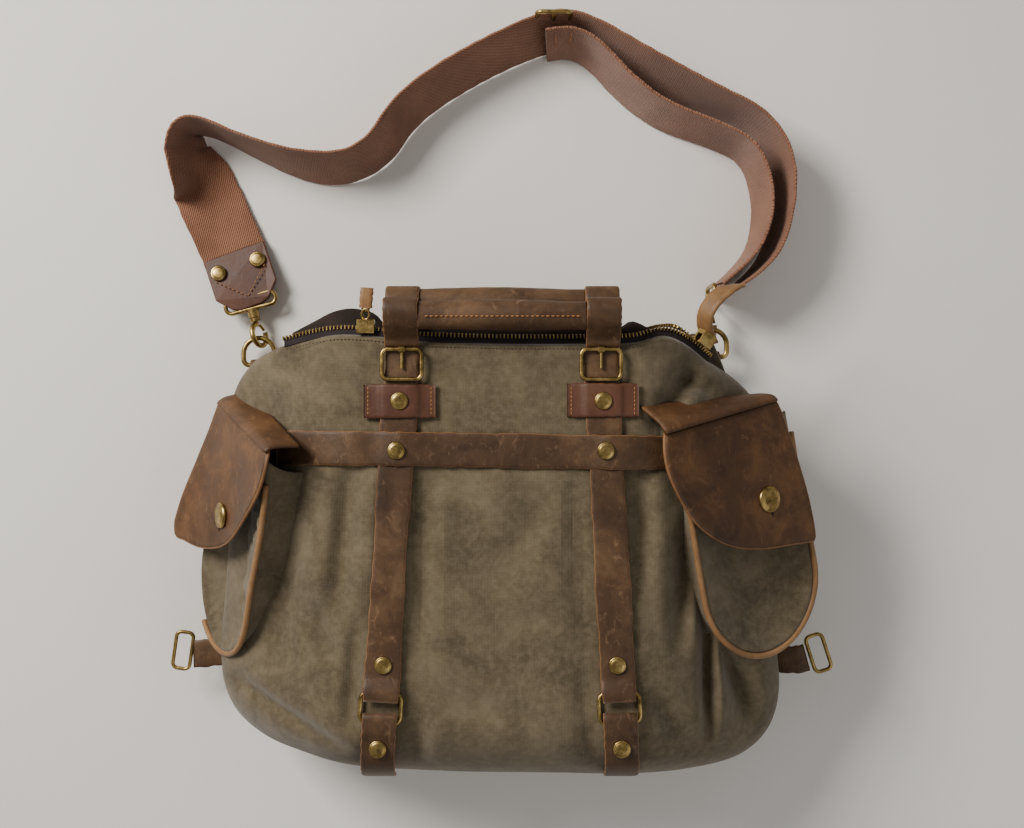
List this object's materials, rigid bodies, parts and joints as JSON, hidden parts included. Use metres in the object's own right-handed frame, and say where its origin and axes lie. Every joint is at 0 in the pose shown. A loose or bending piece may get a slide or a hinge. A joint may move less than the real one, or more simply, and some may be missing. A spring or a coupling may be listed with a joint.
{
  "type": "satchel bag",
  "caption": "Canvas satchel with leather straps, flap pockets, open zip, carrying handles and a clip-on webbing shoulder strap, lying on its back.",
  "frame": {"origin": "middle of the bag's back, on the plane that the back rests on", "axes": "+X across the front panel to the right, +Y from the base towards the zipped mouth, +Z from the back panel out through the front panel"},
  "size_m": [0.5063, 0.5703, 0.1674],
  "materials": {
    "canvas": "mottled waxed canvas",
    "lining": "plain dark cotton",
    "webbing": "ribbed cotton webbing",
    "zip_tape": "woven tape",
    "strap_leather": "waxed pull-up leather",
    "flap_leather": "waxed pull-up leather",
    "red_leather": "smooth oiled leather",
    "tan_leather": "raw edge leather",
    "brass": "aged brass"
  },
  "bodies": {
    "bag": {"back_panel": "canvas", "band_strap": "strap_leather", "base_tabs": "strap_leather", "dee_anchors": "strap_leather", "flap_roots": "flap_leather", "front_panel": "canvas", "front_zip_tape": "zip_tape", "front_zip_teeth": "brass", "gusset": "canvas", "left_buckle": "brass", "left_front_strap": "strap_leather", "left_hook_bail": "brass", "left_pocket": "canvas", "left_pocket_piping": "tan_leather", "left_pocket_strap": "strap_leather", "main_lining": "lining", "rear_straps": "strap_leather", "rear_zip_tape": "zip_tape", "rear_zip_teeth": "brass", "right_buckle": "brass", "right_front_strap": "strap_leather", "right_hook_bail": "brass", "right_pocket": "canvas", "right_pocket_piping": "tan_leather", "right_pocket_strap": "strap_leather", "shoulder_zip_teeth": "brass", "snap_sockets": "brass", "strap_end_tab": "red_leather", "strap_keepers": "red_leather", "strap_rivets": "brass", "strap_slide": "brass", "strap_webbing": "webbing", "strap_webbing_return": "webbing", "tab_rivets": "brass"},
    "front_handle": {"front_handle_legs": "strap_leather", "front_handle_grip": "strap_leather"},
    "rear_handle": {"rear_handle_legs": "strap_leather", "rear_handle_grip": "strap_leather"},
    "left_flap": {"left_pocket_flap": "flap_leather", "left_snap_cap": "brass"},
    "left_slider": {"left_zip_slider": "brass"},
    "left_pull": {"left_zip_pull": "tan_leather"},
    "left_prong": {"left_buckle_prong": "brass"},
    "left_base_loop": {"left_base_ring": "brass"},
    "left_pocket_loop": {"left_loop_buckle": "brass"},
    "left_dee": {"left_dee_ring": "brass"},
    "left_snap_hook": {"left_hook": "brass"},
    "left_gate": {"left_hook_gate": "brass"},
    "right_flap": {"right_pocket_flap": "flap_leather", "right_snap_cap": "brass"},
    "right_slider": {"right_zip_slider": "brass"},
    "right_pull": {"right_zip_pull": "tan_leather"},
    "right_prong": {"right_buckle_prong": "brass"},
    "right_base_loop": {"right_base_ring": "brass"},
    "right_pocket_loop": {"right_loop_buckle": "brass"},
    "right_dee": {"right_dee_ring": "brass"},
    "right_snap_hook": {"right_hook": "brass"},
    "right_gate": {"right_hook_gate": "brass"}
  },
  "joints": [
    {"name": "front_handle_lift", "type": "hinge", "parent": "bag", "child": "front_handle", "pos_m": [0, 0.14425, 0.1505], "axis": [1, 0, 0], "range_deg": [0, 110]},
    {"name": "rear_handle_fold", "type": "hinge", "parent": "bag", "child": "rear_handle", "pos_m": [0, 0.162, 0.056], "axis": [1, 0, 0], "range_deg": [-85, 0]},
    {"name": "left_flap_hinge", "type": "hinge", "parent": "bag", "child": "left_flap", "pos_m": [-0.18714, 0.09236, 0.12007], "axis": [-0.491, 0.342, -0.8012], "range_deg": [0, 130]},
    {"name": "right_flap_hinge", "type": "hinge", "parent": "bag", "child": "right_flap", "pos_m": [0.1629, 0.10003, 0.13135], "axis": [-0.8299, -0.225, 0.5106], "range_deg": [0, 130]},
    {"name": "left_zip_travel", "type": "slide", "parent": "bag", "child": "left_slider", "axis": [1, 0, 0], "range_m": [-0.03, 0.004]},
    {"name": "right_zip_travel", "type": "slide", "parent": "bag", "child": "right_slider", "axis": [0.7029, -0.4134, -0.5788], "range_m": [-0.016, 0.006]},
    {"name": "left_pull_swing", "type": "hinge", "parent": "left_slider", "child": "left_pull", "pos_m": [-0.094, 0.1656, 0.1421], "axis": [1, 0, 0], "range_deg": [-60, 60]},
    {"name": "right_pull_swing", "type": "hinge", "parent": "right_slider", "child": "right_pull", "pos_m": [0.14437, 0.15745, 0.12379], "axis": [0.7029, -0.4134, -0.5788], "range_deg": [-30, 40]},
    {"name": "left_prong_lift", "type": "hinge", "parent": "bag", "child": "left_prong", "pos_m": [-0.0686, 0.14425, 0.1505], "axis": [-1, 0, 0], "range_deg": [0, 30]},
    {"name": "left_base_loop_play", "type": "slide", "parent": "bag", "child": "left_base_loop", "axis": [0.0624, 0.9981, 0], "range_m": [-0.0012, 0.0012]},
    {"name": "right_prong_lift", "type": "hinge", "parent": "bag", "child": "right_prong", "pos_m": [0.0674, 0.14425, 0.1505], "axis": [-1, 0, 0], "range_deg": [0, 30]},
    {"name": "right_base_loop_play", "type": "slide", "parent": "bag", "child": "right_base_loop", "axis": [-0.0539, 0.9985, 0], "range_m": [-0.0012, 0.0012]},
    {"name": "left_pocket_loop_swing", "type": "hinge", "parent": "bag", "child": "left_pocket_loop", "pos_m": [-0.23895, -0.0819, 0.03], "axis": [0.139, 0.9903, 0], "range_deg": [0, 60]},
    {"name": "right_pocket_loop_swing", "type": "hinge", "parent": "bag", "child": "right_pocket_loop", "pos_m": [0.23436, -0.08433, 0.034], "axis": [0.309, -0.9511, 0], "range_deg": [0, 60]},
    {"name": "left_dee_swing", "type": "hinge", "parent": "bag", "child": "left_dee", "pos_m": [-0.19, 0.138, 0.014], "axis": [1, 0, 0], "range_deg": [-2, 2]},
    {"name": "right_dee_swing", "type": "hinge", "parent": "bag", "child": "right_dee", "pos_m": [0.16, 0.144, 0.024], "axis": [1, 0, 0], "range_deg": [-2, 2]},
    {"name": "left_hook_swivel", "type": "hinge", "parent": "bag", "child": "left_snap_hook", "pos_m": [-0.19388, 0.17599, 0.014], "axis": [-0.2588, 0.9659, 0], "range_deg": [-10, 10]},
    {"name": "right_hook_swivel", "type": "hinge", "parent": "bag", "child": "right_snap_hook", "pos_m": [0.16, 0.1825, 0.024], "axis": [0, 1, 0], "range_deg": [-10, 10]},
    {"name": "left_gate_press", "type": "hinge", "parent": "left_snap_hook", "child": "left_gate", "pos_m": [-0.19017, 0.16916, 0.0101], "axis": [-0.8754, -0.2346, -0.4226], "range_deg": [0, 18]},
    {"name": "right_gate_press", "type": "hinge", "parent": "right_snap_hook", "child": "right_gate", "pos_m": [0.16182, 0.17495, 0.0201], "axis": [-0.9063, 0, -0.4226], "range_deg": [0, 18]}
  ]
}
